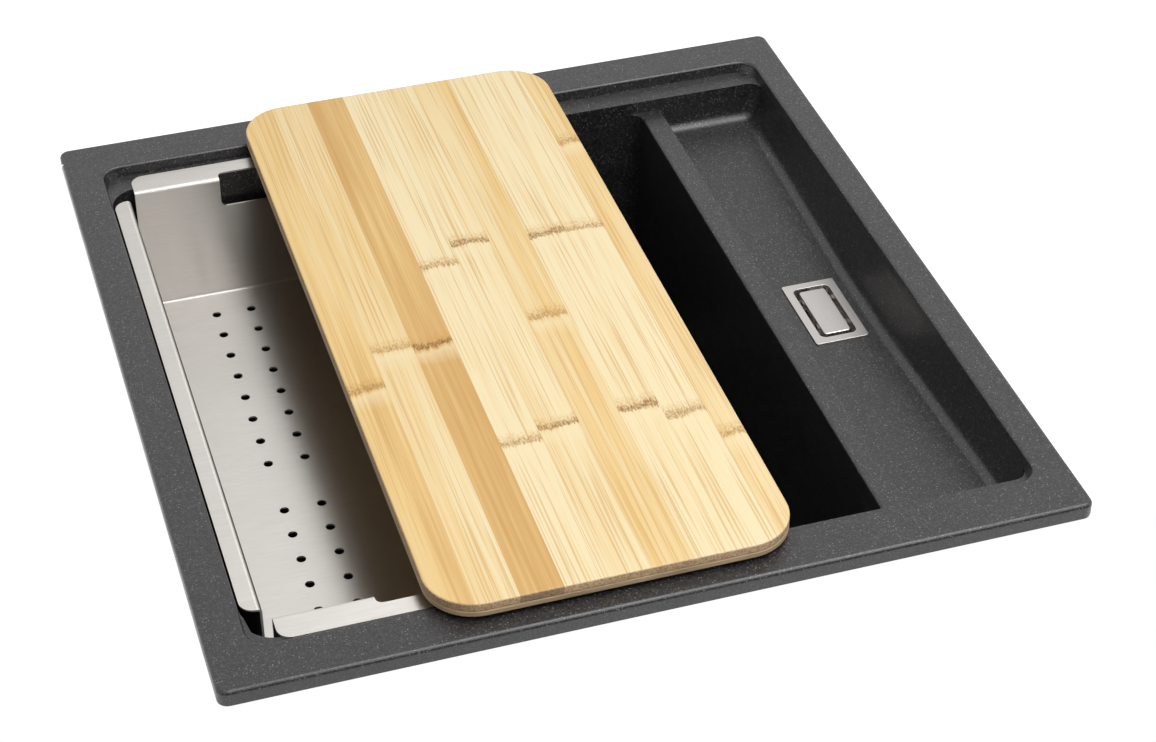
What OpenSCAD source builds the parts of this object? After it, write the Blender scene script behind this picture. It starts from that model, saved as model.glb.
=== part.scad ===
// Workstation kitchen sink: a one-piece composite bowl with a raised drain shelf, two ledges that
// carry a sliding colander tray, a two-ply board across the rim, an overflow in the shelf and a
// basket waste under the bowl.
//
// The origin is the centre of the rim's underside, the face that rests on the worktop.
// +X runs to the right along the front edge, +Y to the back and +Z up.

/* [Rim] */
// Width of the rim, left to right
rim_w = 480; // [470:1:520]
// Depth of the rim, front to back
rim_d = 510; // [504:1:550]
// Height of the rim above the worktop
rim_h = 10; // [9:0.5:13]
// Radius of the rim's outer corners
rim_corner_r = 6; // [4:1:16]
// Radius of the rim's top outer edge
rim_edge_r = 2.5; // [1:0.5:3.5]
// Width of the rim's left side
rim_left_w = 22.5; // [20:0.5:30]
// Width of the rim's right side
rim_right_w = 20; // [18:0.5:28]
// Width of the rim's front and back sides
rim_end_w = 29.5; // [28:0.5:34]
// Radius of the opening's corners
opening_r = 12; // [10:1:18]
// Radius of the opening's lip
lip_r = 2; // [1:0.5:3]

/* [Ledges] */
// Depth of the ledges below the rim
ledge_drop = 7; // [5:0.5:8]
// Width of each ledge
ledge_w = 12; // [9:0.5:16]
// Lean of the opening's end walls above the ledges
end_lean = 5; // [2:0.5:6]
// Lean of the opening's side walls down to the ledges
side_lean = 1; // [0.5:0.1:2]

/* [Bowl] */
// Depth of the bowl below the rim
bowl_depth = 200; // [180:1:230]
// Lean of each bowl wall from the divider's top to the floor
bowl_lean = 5.5; // [3:0.5:8]
// Radius of the bowl's upright corners
bowl_r = 18; // [16:1:24]
// Radius where the bowl's walls meet its floor
floor_r = 14; // [8:1:18]
// Fall of the floor to the waste
floor_fall = 3; // [1:0.5:6]
// Thickness of the walls and floors
wall = 9; // [8:0.5:12]
// Depth of the collar under the rim
collar_h = 14; // [12:1:18]

/* [Drain shelf] */
// Width of the shelf at its top
shelf_w = 69; // [66:1:76]
// Width of the divider between the bowl and the shelf
divider_w = 17; // [14:0.5:24]
// Radius of the divider's edge over the bowl
divider_r = 3; // [1:0.5:4]
// Depth of the divider's top below the rim
divider_drop = 15.5; // [14:0.5:18]
// Depth of the shelf's floor at its ends, below the rim
shelf_end_drop = 32; // [28:0.5:36]
// Depth of the shelf's floor at the overflow, below the rim
shelf_mid_drop = 42; // [38:0.5:48]
// Lean of the shelf's right wall
shelf_lean = 4; // [2:0.5:6]
// Radius where the shelf's walls meet its floor
shelf_r = 7; // [4:0.5:9]

/* [Overflow] */
// Width of the overflow's frame
frame_w = 34; // [32:0.5:36]
// Length of the overflow's frame
frame_l = 61; // [56:0.5:68]
// Thickness of the pressed frame and of its cover
frame_t = 1; // [0.8:0.1:1.2]
// Width of the frame's flat border
frame_border = 4.2; // [3.6:0.1:5]
// Depth of the frame's well
well_drop = 14; // [12:0.5:18]
// Width of the cover plate
cover_w = 17.3; // [14:0.1:19]
// Length of the cover plate
cover_l = 44.6; // [40:0.1:47]
// Distance from the divider's right side to the overflow's centre line
overflow_inset = 36.5; // [34:0.5:39]
// Outer diameter of the overflow pipe
pipe_d = 20; // [18:0.5:22]

/* [Waste] */
// Place of the waste, left of the rim's centre
waste_left = 42; // [20:1:60]
// Diameter of the hole through the bowl's floor
waste_hole_d = 90; // [88:0.5:92]
// Diameter of the waste's flange
waste_flange_d = 113; // [110:1:116]
// Diameter of the strainer dish inside the waste
dish_d = 80; // [76:1:84]
// Depth of the strainer dish
dish_h = 37; // [34:1:42]
// Outer diameter of the outlet's thread
outlet_d = 48; // [44:1:52]
// Bore of the outlet
outlet_bore = 40; // [34:1:41]
// Height of the waste body down to its cone
waste_cup_h = 40; // [38:1:50]
// Height of the cone under the waste body
waste_cone_h = 14; // [10:1:20]
// Length of the outlet under the cone
outlet_h = 32; // [28:1:40]

/* [Tray] */
// Width of the colander tray over its side flanges
tray_w = 200; // [180:1:210]
// Thickness of the tray's sheet
tray_t = 1.2; // [1:0.1:1.6]
// Depth from the tray's flange to its floor
tray_depth = 88; // [60:1:120]
// Width of the tray's side flanges
side_flange = 11; // [8:0.5:14]
// Overlap of the tray's end flanges beyond the ledges' edges
tray_overhang = 7; // [5:0.5:9]
// Inner radius of the tray's bends
bend_r = 1.5; // [1:0.1:2.5]
// Radius of the flanges' free corners
flange_r = 8; // [4:0.5:9]
// Diameter of the drain holes
hole_d = 5.6; // [4:0.1:8]
// Pitch of the drain holes along the tray
hole_pitch_y = 22.3; // [18:0.1:24]
// Pitch of the drain holes across the tray
hole_pitch_x = 22.6; // [18:0.1:26]
// Rows of drain holes on each side of the bare centre row
hole_rows = 8; // [4:1:8]
// Width of the hand holes
hand_w = 63; // [50:1:80]
// Depth of the hand holes below the flange
hand_drop = 21; // [16:0.5:28]

/* [Board] */
// Width of the board
board_w = 201; // [180:1:230]
// Distance of the board's ends from the rim's edge
board_inset = 10.5; // [6:0.5:14]
// Radius of the board's corners
board_r = 28; // [15:1:40]
// Thickness of the board's upper ply
upper_ply = 5.4; // [4:0.1:10]
// Thickness of the board's lower ply
lower_ply = 3.6; // [2:0.1:8]
// Height of the board's rubber feet
foot_h = 2.3; // [1.5:0.1:4]
// Diameter of the board's rubber feet
foot_d = 10; // [8:0.5:12]
// Place of the board's centre, left of the rim's centre
board_left = 24; // [0:1:100]
// Place of the board's centre, behind the rim's centre
board_back = 1.6; // [-3:0.1:3]

/* [Fixing] */
// Width of each fixing clip
clip_w = 18; // [14:0.5:22]
// Thickness of the clip's steel
clip_t = 1.6; // [1.2:0.1:2]
// Thickness of the worktop that the clips grip
worktop_t = 30; // [27:1:34]
// Distance of the clips from the rim's centre
clip_x = 120; // [90:1:150]

/* [Fits] */
// Side clearance of the pieces that slide or lift
slide_gap = 0.3; // [0.2:0.05:0.5]
// Clearance round the pieces that pass through a hole
hole_gap = 1; // [0.6:0.1:1.5]

/* [Hidden] */
$fn = 64;
hull_fn = 32;
eps = 0.01;

corners = [[-1, -1], [1, -1], [1, 1], [-1, 1]];
feet = [for (i = [1:4]) str("board_foot_", i)];
clips = [for (i = [1:4]) str("fixing_clip_", i)];
clamps = [for (i = [1:4]) str("clamp_screw_", i)];

// The opening and the levels under it
open_x0 = -rim_w / 2 + rim_left_w;
open_x1 = rim_w / 2 - rim_right_w;
open_y = rim_d / 2 - rim_end_w;
ledge_z = rim_h - ledge_drop;
ledge_y1 = open_y - end_lean;
ledge_y0 = ledge_y1 - ledge_w;
well_x0 = open_x0 + side_lean;
well_x1 = open_x1 - side_lean;

// The divider, the shelf and the bowl
divider_z = rim_h - divider_drop;
divider_x1 = well_x1 - shelf_w;
divider_x0 = divider_x1 - divider_w;
shelf_end_z = rim_h - shelf_end_drop;
shelf_mid_z = rim_h - shelf_mid_drop;
shelf_corner_r = 8;
shelf_inner_r = 4;
floor_z = rim_h - bowl_depth;
drain_z = floor_z - floor_fall;
shelf_under_z = shelf_mid_z - wall;
collar_x0 = open_x0 - wall;
collar_x1 = open_x1 + wall;
collar_y = ledge_y1 + wall;

// The overflow
over_x = divider_x1 + overflow_inset;
over_top_z = shelf_mid_z + frame_t;
well_w = frame_w - 2 * frame_border;
well_l = frame_l - 2 * frame_border;
well_r = 5;
well_bottom_z = over_top_z - well_drop;
over_flat = frame_l / 2 + 5;
over_gasket_t = 2;
housing_t = 2.5;
housing_border = 8;
housing_flange_t = 3;
housing_top_z = shelf_under_z - over_gasket_t;
housing_floor_z = well_bottom_z - 12;
housing_under_z = housing_floor_z - housing_t;
screw_d = 5;
spring_w = 4;
spring_t = 0.8;
spring_ys = [-8, cover_l / 2 - 4.3];

// The overflow pipe and its two compression joints
pipe_t = 2;
spigot_t = 3;
spigot_h = 16;
spigot_bore = pipe_d + 2 * slide_gap;
spigot_d = spigot_bore + 2 * spigot_t;
pipe_washer_t = 3;
pipe_nut_t = 4;
pipe_nut_h = 16;
pipe_bend_r = 30;
pipe_top_z = housing_under_z - 3;
pipe_run_z = drain_z - 37;
spigot_end_z = housing_under_z - spigot_h;

// The waste
waste_x = -waste_left;
recess_drop = 3.5;
recess_z = drain_z - recess_drop;
boss_h = 4;
boss_d = waste_flange_d + 17;
floor_under_z = floor_z - wall - boss_h;
gasket_t = 1;
flange_t = 1.2;
flange_z = recess_z + gasket_t;
dish_bottom_z = flange_z - dish_h;
waste_gasket_t = 3;
body_top_z = floor_under_z - waste_gasket_t;
body_flange_t = 6;
body_bore = dish_d + 8;
body_t = 3;
body_d = body_bore + 2 * body_t;
body_cup_z = body_top_z - waste_cup_h;
body_cone_z = body_cup_z - waste_cone_h;
outlet_end_z = body_cone_z - outlet_h;
waste_boss_d = 14;
waste_boss_z = dish_bottom_z - flange_t - 5;
waste_screw_d = 6;
inlet_x = waste_x + body_d / 2 + 20;

// The strainer basket
basket_t = 0.8;
basket_seal_t = 2;
basket_z = dish_bottom_z + basket_seal_t;
basket_top_z = flange_z - 5;
basket_d = dish_d - 2 * flange_t - 6;
stem_d = 18;
stem_bore = 14;

// The tray
tray_x0 = well_x0 + 3 * slide_gap;
tray_x1 = tray_x0 + tray_w;
tray_top_z = ledge_z + tray_t;
tray_floor_z = tray_top_z - tray_depth;
tray_in_x0 = tray_x0 + side_flange;
tray_in_x1 = tray_x1 - side_flange;
tray_mid_x = (tray_x0 + tray_x1) / 2;
tray_in_y = ledge_y0 - tray_overhang;
end_flange = ledge_y1 - slide_gap * 3 - tray_in_y;
side_wall_short = 7;
end_wall_short = 3.5;
hand_bite = 7;
hand_r = 4;

// The board
board_x = -board_left;
board_l = rim_d - 2 * board_inset;
board_bottom_z = rim_h + foot_h;
foot_x = board_w / 2 - board_r;
foot_y = open_y + lip_r + foot_d / 2 + 1;

// The clips
slot_z = -7;
slot_in = 6;
clip_reach = rim_d / 2 - 1;
clamp_d = 5;
clamp_y = clip_reach - clamp_d;
clip_leg_z = -worktop_t - 16;
clip_spots = [for (c = corners) [c[0] * clip_x, c[1]]];

// The seal in the rim's underside
seal_w = 6;
seal_t = 2;
seal_inset = 5;

// Rounded rectangle from x0 to x1 and from -y to y
module rounded(x0, x1, y, r) {
    union() {
        translate([x0 + r, -y]) square([x1 - x0 - 2 * r, 2 * y]);
        translate([x0, -y + r]) square([x1 - x0, 2 * y - 2 * r]);
        for (x = [x0 + r, x1 - r], s = [-1, 1]) translate([x, s * (y - r)]) circle(r);
    }
}

// Thin slab with its own corner radius on the left and on the right, for hulls
module layer(x0, x1, y, z, r_left, r_right) {
    for (s = [-1, 1]) {
        translate([x0 + r_left, s * (y - r_left), z]) cylinder(h = eps, r = r_left, $fn = hull_fn);
        translate([x1 - r_right, s * (y - r_right), z]) cylinder(h = eps, r = r_right, $fn = hull_fn);
    }
}

// Four discs with rounded edges whose lowest level is z, for the foot of a hull
module round_foot(x0, x1, y, z, r, edge) {
    for (x = [x0 + r, x1 - r], s = [-1, 1])
        translate([x, s * (y - r), z + edge]) rotate_extrude($fn = hull_fn) intersection() {
            translate([r - edge, 0]) circle(edge, $fn = hull_fn);
            translate([0, -edge]) square([r, 2 * edge]);
        }
}

// Sweeps a flat profile round a rounded rectangle's edge: its x points outwards, its y up
module sweep_edge(x0, x1, y, r) {
    ends = [[x1 - r, -y + r, -90], [x1 - r, y - r, 0], [x0 + r, y - r, 90], [x0 + r, -y + r, 180]];
    for (e = ends)
        translate([e[0], e[1], 0]) rotate([0, 0, e[2]])
            rotate_extrude(angle = 90) translate([r, 0]) children();
    for (s = [-1, 1]) {
        side_x = s > 0 ? x1 : x0;
        translate([side_x, s * (y - r), 0]) rotate([90, 0, s > 0 ? 0 : 180])
            linear_extrude(2 * (y - r)) children();
        translate([s > 0 ? x0 + r : x1 - r, s * y, 0]) rotate([90, 0, s * 90])
            linear_extrude(x1 - x0 - 2 * r) children();
    }
}

// ---- the sink ----

module rim_plate() {
    hull()
        for (c = corners)
            translate([c[0] * (rim_w / 2 - rim_corner_r), c[1] * (rim_d / 2 - rim_corner_r), 0])
                rotate_extrude($fn = hull_fn) {
                    square([rim_corner_r, rim_h - rim_edge_r]);
                    square([rim_corner_r - rim_edge_r, rim_h]);
                    translate([rim_corner_r - rim_edge_r, rim_h - rim_edge_r])
                        circle(rim_edge_r, $fn = hull_fn);
                }
}

module collar() {
    translate([0, 0, -collar_h]) linear_extrude(collar_h + eps)
        rounded(collar_x0, collar_x1, collar_y, opening_r + wall);
}

module bowl_shell() {
    hull() {
        layer(well_x0 - wall, divider_x0 + wall, ledge_y0 + wall, -eps, bowl_r + wall, bowl_r + wall);
        round_foot(well_x0 + bowl_lean - wall, divider_x0 - bowl_lean + wall,
            ledge_y0 - bowl_lean + wall, floor_z - wall, bowl_r + wall, floor_r + wall / 2);
    }
    translate([waste_x, 0, floor_under_z]) cylinder(h = boss_h + wall, d = boss_d);
}

module shelf_shell() {
    translate([0, 0, shelf_under_z]) linear_extrude(-shelf_under_z)
        rounded(divider_x0, collar_x1, ledge_y0 + wall, shelf_corner_r + wall);
}

module opening_cut() {
    hull() {
        layer(well_x0, well_x1, ledge_y1, ledge_z, opening_r, opening_r);
        layer(open_x0, open_x1, open_y, rim_h - lip_r, opening_r, opening_r);
    }
}

// The top of the opening: a wider plate less the bead of material that rounds the lip
module lip_cut() {
    x0 = open_x0 - lip_r;
    x1 = open_x1 + lip_r;
    y = open_y + lip_r;
    r = opening_r + lip_r;
    translate([0, 0, rim_h - lip_r]) difference() {
        linear_extrude(lip_r + 1) rounded(x0, x1, y, r);
        sweep_edge(x0, x1, y, r) circle(lip_r);
    }
}

// The space above the divider, the bowl and the shelf, up to the ledges
module well_cut() {
    hull() {
        layer(well_x0, well_x1, ledge_y0, ledge_z + eps, bowl_r, shelf_corner_r);
        layer(well_x0, well_x1, ledge_y0, divider_z, bowl_r, shelf_corner_r);
    }
}

module bowl_cut() {
    hull() {
        layer(well_x0, divider_x0, ledge_y0, divider_z, bowl_r, bowl_r);
        round_foot(well_x0 + bowl_lean, divider_x0 - bowl_lean, ledge_y0 - bowl_lean,
            floor_z, bowl_r + 2, floor_r);
        translate([waste_x, 0, drain_z]) cylinder(h = 1, d = waste_flange_d + 6);
    }
}

module shelf_cut() {
    foot_x0 = divider_x1 + shelf_r;
    foot_x1 = well_x1 - shelf_lean - shelf_r;
    hull() {
        layer(divider_x1, well_x1, ledge_y0, divider_z, shelf_inner_r, shelf_corner_r);
        for (s = [-1, 1], x = [foot_x0, foot_x1]) {
            translate([x, s * (ledge_y0 - 1 - shelf_r), shelf_end_z + shelf_r])
                sphere(shelf_r, $fn = hull_fn);
            translate([x, s * over_flat, shelf_mid_z + shelf_r])
                rotate([90, 0, 0]) cylinder(h = 1, r = shelf_r, center = true, $fn = hull_fn);
        }
    }
}

// The divider's rounded edge over the bowl
module divider_edge_cut() {
    translate([divider_x0, ledge_y0 - bowl_r, divider_z - divider_r]) rotate([90, 0, 0])
        linear_extrude(2 * (ledge_y0 - bowl_r)) difference() {
            translate([-eps, 0]) square([divider_r + eps, divider_r + 1]);
            translate([divider_r, 0]) circle(divider_r);
        }
}

module waste_cut() {
    translate([waste_x, 0, floor_under_z - 1])
        cylinder(h = wall + boss_h + floor_fall + 2, d = waste_hole_d);
    translate([waste_x, 0, recess_z]) cylinder(h = recess_drop + 1, d = waste_flange_d + 2 * hole_gap);
}

module overflow_cut() {
    translate([over_x, 0, shelf_under_z - 1]) linear_extrude(wall + 3)
        rounded(-well_w / 2 - hole_gap, well_w / 2 + hole_gap, well_l / 2 + hole_gap, well_r + hole_gap);
}

module seal_ring(z, h) {
    translate([0, 0, z]) linear_extrude(h) difference() {
        square([rim_w - 2 * seal_inset, rim_d - 2 * seal_inset], center = true);
        square([rim_w - 2 * (seal_inset + seal_w), rim_d - 2 * (seal_inset + seal_w)], center = true);
    }
}

module clip_slots() {
    for (spot = clip_spots)
        translate([spot[0], spot[1] * (collar_y - slot_in / 2), slot_z])
            cube([clip_w + 2 * hole_gap, slot_in + 1, clip_t + hole_gap], center = true);
}

module sink_body() {
    color([0.2, 0.2, 0.21]) difference() {
        union() {
            rim_plate();
            collar();
            bowl_shell();
            shelf_shell();
        }
        opening_cut();
        lip_cut();
        well_cut();
        bowl_cut();
        shelf_cut();
        divider_edge_cut();
        waste_cut();
        overflow_cut();
        seal_ring(-1, seal_t + 1);
        clip_slots();
    }
}

module rim_seal() {
    color([0.12, 0.12, 0.12]) seal_ring(0, seal_t);
}

// ---- the board ----

module board_ply(z, h, tone) {
    color(tone) translate([board_x, board_back, z]) linear_extrude(h)
        rounded(-board_w / 2, board_w / 2, board_l / 2, board_r);
}

module board_upper_ply() {
    board_ply(board_bottom_z + lower_ply, upper_ply, [0.93, 0.79, 0.52]);
}

module board_lower_ply() {
    board_ply(board_bottom_z, lower_ply, [0.86, 0.68, 0.41]);
}

module board_foot(corner) {
    color([0.3, 0.3, 0.3])
        translate([board_x + corner[0] * foot_x, corner[1] * foot_y, rim_h])
            cylinder(h = foot_h, d = foot_d);
}

// ---- the colander tray: one sheet, folded up on four sides ----

// Quarter ring of sheet, in the quadrant of positive x and y
module bend() {
    intersection() {
        difference() {
            circle(bend_r + tray_t);
            circle(bend_r);
        }
        square(bend_r + tray_t + 1);
    }
}

// Section through a wall: x points outwards from its inner face, y up from the flange's top
module wall_section(flange) {
    far = tray_t + bend_r;
    union() {
        translate([far, -tray_t]) square([flange - far, tray_t]);
        translate([far, -far]) mirror([1, 0]) bend();
        translate([0, bend_r - tray_depth]) square([tray_t, tray_depth - far - bend_r]);
        translate([-bend_r, bend_r - tray_depth]) mirror([0, 1]) bend();
    }
}

// Outline of one flange's plate in plan, with its two free corners rounded
module flange_outline(length, width) {
    keep = bend_r + tray_t;
    union() {
        translate([-1, -length / 2]) square([width - flange_r + 1, length]);
        translate([0, -length / 2 + flange_r]) square([width, length - 2 * flange_r]);
        for (s = [-1, 1])
            translate([width - flange_r, s * (length / 2 - flange_r)]) circle(flange_r);
        translate([-keep - 1, -length / 2]) square([2 * keep, length]);
    }
}

// A wall with its flange, standing at its inner face and facing +X
module tray_wall(length, flange) {
    intersection() {
        translate([0, length / 2, 0]) rotate([90, 0, 0]) linear_extrude(length) wall_section(flange);
        translate([0, 0, -tray_depth - 2 * tray_t]) linear_extrude(tray_depth + 3 * tray_t)
            flange_outline(length, flange);
    }
}

// Both hand holes: an upright slot in each end wall that runs on into its flange
module hand_holes() {
    reach = tray_in_y + hand_bite;
    half = hand_w / 2;
    translate([tray_mid_x, 0, tray_top_z]) {
        translate([0, 0, -hand_r]) linear_extrude(hand_r + 1) rounded(-half, half, reach, hand_r);
        rotate([90, 0, 0]) linear_extrude(2 * reach, center = true) union() {
            translate([-half, hand_r - hand_drop]) square([hand_w, hand_drop - 2 * hand_r + 1]);
            translate([hand_r - half, -hand_drop]) square([hand_w - 2 * hand_r, hand_drop - hand_r]);
            for (s = [-1, 1]) translate([s * (half - hand_r), hand_r - hand_drop]) circle(hand_r);
        }
    }
}

module colander_tray() {
    side_length = 2 * (tray_in_y - side_wall_short);
    end_length = tray_in_x1 - tray_in_x0 - 2 * end_wall_short;
    color([0.8, 0.79, 0.77]) difference() {
        union() {
            translate([tray_in_x0 + bend_r, -tray_in_y + bend_r, tray_floor_z - tray_t])
                cube([tray_in_x1 - tray_in_x0 - 2 * bend_r, 2 * (tray_in_y - bend_r), tray_t]);
            translate([tray_in_x1, 0, tray_top_z]) tray_wall(side_length, side_flange);
            translate([tray_in_x0, 0, tray_top_z]) rotate([0, 0, 180])
                tray_wall(side_length, side_flange);
            for (s = [-1, 1])
                translate([tray_mid_x, s * tray_in_y, tray_top_z]) rotate([0, 0, s * 90])
                    tray_wall(end_length, end_flange);
        }
        hand_holes();
        for (sx = [-1, 1], column = [1, 2], sy = [-1, 1], row = [1:hole_rows])
            translate([tray_mid_x + sx * column * hole_pitch_x, sy * row * hole_pitch_y, tray_floor_z])
                cylinder(h = 3 * tray_t, d = hole_d, center = true, $fn = 24);
    }
}

// ---- the overflow in the shelf ----

module overflow_frame() {
    color([0.78, 0.77, 0.75]) translate([over_x, 0, 0]) difference() {
        union() {
            translate([0, 0, shelf_mid_z]) linear_extrude(frame_t)
                rounded(-frame_w / 2, frame_w / 2, frame_l / 2, 1.5);
            translate([0, 0, well_bottom_z]) linear_extrude(well_drop - frame_t / 2)
                rounded(-well_w / 2, well_w / 2, well_l / 2, well_r);
        }
        translate([0, 0, well_bottom_z + frame_t]) linear_extrude(well_drop)
            rounded(-well_w / 2 + frame_t, well_w / 2 - frame_t, well_l / 2 - frame_t, well_r - frame_t);
        translate([0, 0, well_bottom_z - 1]) cylinder(h = frame_t + 2, d = screw_d + 2 * slide_gap);
        for (s = [-1, 1])
            translate([0, s * well_l / 4, well_bottom_z - 1]) linear_extrude(frame_t + 2)
                rounded(-well_w / 4, well_w / 4, well_l / 8, 2);
    }
}

module overflow_cover() {
    skirt_h = 3.5;
    color([0.82, 0.79, 0.76]) translate([over_x, 0, over_top_z]) difference() {
        translate([0, 0, -skirt_h]) linear_extrude(skirt_h)
            rounded(-cover_w / 2, cover_w / 2, cover_l / 2, 2);
        translate([0, 0, -skirt_h - frame_t]) linear_extrude(skirt_h)
            rounded(-cover_w / 2 + frame_t, cover_w / 2 - frame_t, cover_l / 2 - frame_t, 1);
    }
}

// Sprung strip under the cover: a spine along it and two pairs of legs against the well's sides
module cover_spring() {
    leg_reach = well_w / 2 - frame_t - slide_gap;
    arm_reach = cover_w / 2 - frame_t - 1;
    arm_drop = 4;
    leg_drop = well_drop - 3 * frame_t - 4;
    color([0.7, 0.7, 0.7]) translate([over_x, 0, over_top_z - frame_t - spring_t]) {
        translate([-spring_w / 2, spring_ys[0] - spring_w / 2, 0])
            cube([spring_w, spring_ys[1] - spring_ys[0] + spring_w, spring_t]);
        for (y = spring_ys, side = [0, 180])
            translate([0, y, 0]) rotate([0, 0, side]) translate([0, -spring_w / 2, 0]) {
                cube([arm_reach, spring_w, spring_t]);
                translate([arm_reach - spring_t, 0, -arm_drop]) {
                    cube([spring_t, spring_w, arm_drop + spring_t]);
                    cube([leg_reach - arm_reach + spring_t, spring_w, spring_t]);
                }
                translate([leg_reach - spring_t, 0, -leg_drop])
                    cube([spring_t, spring_w, leg_drop - arm_drop + 1]);
            }
    }
}

// Outline of the well, grown all round
module well_outline(grow) {
    rounded(-well_w / 2 - grow, well_w / 2 + grow, well_l / 2 + grow, well_r + grow);
}

module overflow_seal() {
    color([0.1, 0.1, 0.1]) translate([over_x, 0, shelf_under_z]) linear_extrude(wall) difference() {
        well_outline(hole_gap - 0.1);
        well_outline(0);
    }
}

module housing_gasket() {
    color([0.1, 0.1, 0.1]) translate([over_x, 0, housing_top_z]) linear_extrude(over_gasket_t)
        difference() {
            well_outline(housing_border);
            well_outline(hole_gap);
        }
}

module overflow_housing() {
    inner_x = well_w / 2 + hole_gap;
    rib_t = 2.5;
    rib_h = well_bottom_z - housing_floor_z - 1;
    inlet_d = pipe_d / 4;
    color([0.85, 0.85, 0.84]) translate([over_x, 0, 0]) difference() {
        union() {
            translate([0, 0, housing_top_z - housing_flange_t]) linear_extrude(housing_flange_t)
                well_outline(housing_border);
            translate([0, 0, housing_under_z]) linear_extrude(housing_top_z - housing_under_z)
                well_outline(hole_gap + housing_t);
            translate([0, 0, spigot_end_z]) cylinder(h = spigot_h + 1, d = spigot_d);
        }
        translate([0, 0, housing_floor_z]) difference() {
            linear_extrude(housing_top_z - housing_floor_z + 1) well_outline(hole_gap);
            for (a = [0, 90]) rotate([0, 0, a])
                translate([-2 * inner_x, -rib_t / 2, -1]) cube([4 * inner_x, rib_t, rib_h + 1]);
            translate([0, 0, -1]) cylinder(h = rib_h + 1, d = screw_d + 6);
        }
        translate([0, 0, spigot_end_z - 1])
            cylinder(h = pipe_top_z - spigot_end_z + 1, d = spigot_bore);
        for (a = [45:90:315]) rotate([0, 0, a])
            translate([inlet_d + 1, 0, pipe_top_z - 1])
                cylinder(h = housing_floor_z - pipe_top_z + 2, d = inlet_d);
        translate([0, 0, housing_floor_z + 1]) cylinder(h = rib_h + 1, d = screw_d);
    }
}

module overflow_screw() {
    color([0.75, 0.75, 0.74]) translate([over_x, 0, 0]) difference() {
        union() {
            translate([0, 0, housing_floor_z + 1])
                cylinder(h = well_bottom_z + frame_t - housing_floor_z, d = screw_d);
            translate([0, 0, well_bottom_z + frame_t])
                cylinder(h = 2.5, d1 = screw_d + 4, d2 = screw_d + 3);
        }
        translate([-3, -0.5, well_bottom_z + frame_t + 1.3]) cube([6, 1, 2]);
    }
}

// ---- the overflow pipe, from the housing down and across to the waste ----

module pipe_path(d) {
    corner_z = pipe_run_z + pipe_bend_r;
    translate([over_x, 0, corner_z]) cylinder(h = pipe_top_z - corner_z, d = d);
    translate([over_x - pipe_bend_r, 0, corner_z]) rotate([-90, 0, 0])
        rotate_extrude(angle = 90) translate([pipe_bend_r, 0]) circle(d = d);
    translate([inlet_x - spigot_h + 2, 0, pipe_run_z]) rotate([0, 90, 0])
        cylinder(h = over_x - pipe_bend_r - inlet_x + spigot_h - 2, d = d);
}

module overflow_pipe() {
    color([0.85, 0.85, 0.84]) difference() {
        pipe_path(pipe_d);
        pipe_path(pipe_d - 2 * pipe_t);
        translate([over_x, 0, pipe_top_z - 1]) cylinder(h = 2, d = pipe_d - 2 * pipe_t);
        translate([inlet_x - spigot_h, 0, pipe_run_z]) rotate([0, 90, 0])
            cylinder(h = 3, d = pipe_d - 2 * pipe_t);
    }
}

// Washer against the spigot's end, drawn along +Z from that end
module pipe_washer() {
    color([0.15, 0.15, 0.15]) difference() {
        cylinder(h = pipe_washer_t, d = spigot_d);
        translate([0, 0, -1]) cylinder(h = pipe_washer_t + 2, d = pipe_d);
    }
}

// Compression nut over a spigot, drawn along +Z: its closed end lies past the washer
module pipe_nut() {
    bore = spigot_d + 2 * slide_gap;
    outer = bore + 2 * pipe_nut_t;
    start = pipe_washer_t + pipe_nut_t - pipe_nut_h;
    color([0.9, 0.9, 0.89]) difference() {
        union() {
            translate([0, 0, start]) cylinder(h = pipe_nut_h, d = outer);
            for (a = [0:30:330]) rotate([0, 0, a])
                translate([outer / 2, 0, start]) cylinder(h = pipe_nut_h - 2, d = 3, $fn = 16);
        }
        translate([0, 0, start - pipe_nut_t]) cylinder(h = pipe_nut_h, d = bore);
        translate([0, 0, -1]) cylinder(h = pipe_nut_h, d = pipe_d + 2 * slide_gap);
    }
}

module at_housing_spigot() {
    translate([over_x, 0, spigot_end_z]) rotate([180, 0, 0]) children();
}

module at_waste_inlet() {
    translate([inlet_x, 0, pipe_run_z]) rotate([0, 90, 0]) children();
}

// ---- the waste ----

module waste_dish() {
    r = dish_d / 2;
    color([0.8, 0.79, 0.77]) translate([waste_x, 0, 0]) difference() {
        rotate_extrude() union() {
            translate([r - flange_t, flange_z])
                square([waste_flange_d / 2 - r + flange_t, flange_t]);
            translate([r - flange_t, dish_bottom_z - flange_t])
                square([flange_t, dish_h + 2 * flange_t]);
            translate([0, dish_bottom_z - flange_t]) square([r, flange_t]);
        }
        translate([0, 0, dish_bottom_z - 3]) cylinder(h = 5, d = waste_screw_d + 2 * slide_gap);
        for (a = [0:30:330]) rotate([0, 0, a])
            translate([r / 2 - 1, 0, dish_bottom_z - 3]) cylinder(h = 5, d = 7, $fn = 32);
    }
}

module ring(z, h, outer, inner) {
    translate([waste_x, 0, z]) difference() {
        cylinder(h = h, d = outer);
        translate([0, 0, -1]) cylinder(h = h + 2, d = inner);
    }
}

module dish_gasket() {
    color([0.12, 0.12, 0.12]) ring(recess_z, gasket_t, waste_flange_d, waste_hole_d);
}

module waste_gasket() {
    color([0.12, 0.12, 0.12]) ring(body_top_z, waste_gasket_t, waste_flange_d, waste_hole_d);
}

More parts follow.
